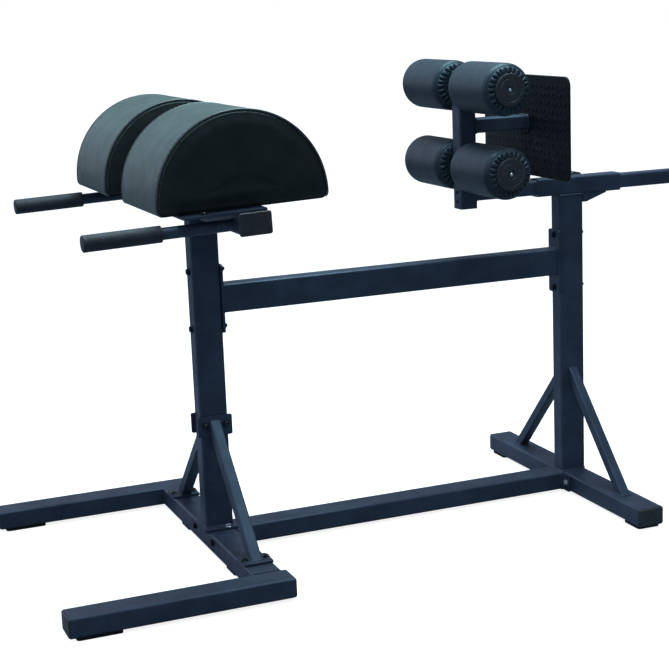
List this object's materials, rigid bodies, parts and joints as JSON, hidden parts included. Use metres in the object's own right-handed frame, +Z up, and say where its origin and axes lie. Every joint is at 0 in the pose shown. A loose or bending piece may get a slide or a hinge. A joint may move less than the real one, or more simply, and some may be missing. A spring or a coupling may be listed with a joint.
{
  "type": "roman chair",
  "caption": "Gym bench with two half-round thigh pads and side handles at one end and a sliding carriage of foam ankle rollers with a foot plate at the other.",
  "frame": {"origin": "on the floor, below the middle of the outline", "axes": "+Z up, +X from the pads towards the rollers and the sliding tube's rear end, +Y to the left side of a person who faces +X, the side with the locking knob"},
  "size_m": [1.9966, 0.942, 1.2495],
  "materials": {
    "frame_coat": "satin black powder coat",
    "textured_coat": "coarse black textured coat",
    "cap_plastic": "matte moulded black",
    "knob_plastic": "satin moulded black",
    "disc_plastic": "matte moulded black",
    "foot_rubber": "matte black rubber",
    "grip_rubber": "matte black rubber",
    "pad_vinyl": "grained black upholstery vinyl",
    "pad_board_wood": "bare plywood",
    "roller_vinyl": "smooth dark slate vinyl over foam",
    "bush_nylon": "natural nylon",
    "zinc_steel": "bright zinc plate"
  },
  "bodies": {
    "frame": {"carrier_cap_left": "cap_plastic", "carrier_cap_right": "cap_plastic", "cross_foot_left": "foot_rubber", "cross_foot_right": "foot_rubber", "floor_tube": "frame_coat", "front_brace_left": "frame_coat", "front_brace_right": "frame_coat", "front_cross_tube": "frame_coat", "front_leg_left": "frame_coat", "front_leg_right": "frame_coat", "front_post": "frame_coat", "grip_left": "grip_rubber", "grip_right": "grip_rubber", "handle_carrier": "frame_coat", "handle_left": "frame_coat", "handle_right": "frame_coat", "leg_foot_left": "foot_rubber", "leg_foot_right": "foot_rubber", "leg_front_cap_left": "cap_plastic", "leg_front_cap_right": "cap_plastic", "leg_rear_cap_left": "cap_plastic", "leg_rear_cap_right": "cap_plastic", "lock_spring": "zinc_steel", "pad_board_left": "pad_board_wood", "pad_board_right": "pad_board_wood", "pad_left": "pad_vinyl", "pad_plate_left": "frame_coat", "pad_plate_right": "frame_coat", "pad_right": "pad_vinyl", "pin_housing": "zinc_steel", "rear_brace_left": "frame_coat", "rear_brace_right": "frame_coat", "rear_cross_cap_left": "cap_plastic", "rear_cross_cap_right": "cap_plastic", "rear_cross_tube": "frame_coat", "rear_foot_left": "foot_rubber", "rear_foot_right": "foot_rubber", "rear_post": "frame_coat", "sleeve_bush_front": "bush_nylon", "sleeve_bush_rear": "bush_nylon", "slide_sleeve": "frame_coat", "top_beam": "frame_coat"},
    "foot_carriage": {"slide_tube": "frame_coat", "slide_tube_cap": "cap_plastic", "roller_mast": "frame_coat", "mast_cap": "cap_plastic", "plate_arm": "frame_coat", "foot_plate": "textured_coat", "roller_axle_upper": "zinc_steel", "roller_axle_lower": "zinc_steel"},
    "lock": {"lock_pin": "zinc_steel", "lock_knob": "knob_plastic"},
    "roller_upper_left_body": {"roller_upper_left": "roller_vinyl", "roller_disc_upper_left": "disc_plastic"},
    "roller_upper_right_body": {"roller_upper_right": "roller_vinyl", "roller_disc_upper_right": "disc_plastic"},
    "roller_lower_left_body": {"roller_lower_left": "roller_vinyl", "roller_disc_lower_left": "disc_plastic"},
    "roller_lower_right_body": {"roller_lower_right": "roller_vinyl", "roller_disc_lower_right": "disc_plastic"}
  },
  "joints": [
    {"name": "carriage_slide", "type": "slide", "parent": "frame", "child": "foot_carriage", "axis": [1, 0, 0], "range_m": [-0.2, 0.15]},
    {"name": "lock_pin_pull", "type": "slide", "parent": "frame", "child": "lock", "axis": [0, 1, 0], "range_m": [0, 0.01], "stiffness_N_per_m": 1500},
    {"name": "roller_upper_left_spin", "type": "hinge", "parent": "foot_carriage", "child": "roller_upper_left_body", "pos_m": [0.272, 0, 1.181], "axis": [0, 1, 0], "continuous": true},
    {"name": "roller_upper_right_spin", "type": "hinge", "parent": "foot_carriage", "child": "roller_upper_right_body", "pos_m": [0.272, 0, 1.181], "axis": [0, 1, 0], "continuous": true},
    {"name": "roller_lower_left_spin", "type": "hinge", "parent": "foot_carriage", "child": "roller_lower_left_body", "pos_m": [0.272, 0, 0.964], "axis": [0, 1, 0], "continuous": true},
    {"name": "roller_lower_right_spin", "type": "hinge", "parent": "foot_carriage", "child": "roller_lower_right_body", "pos_m": [0.272, 0, 0.964], "axis": [0, 1, 0], "continuous": true}
  ]
}
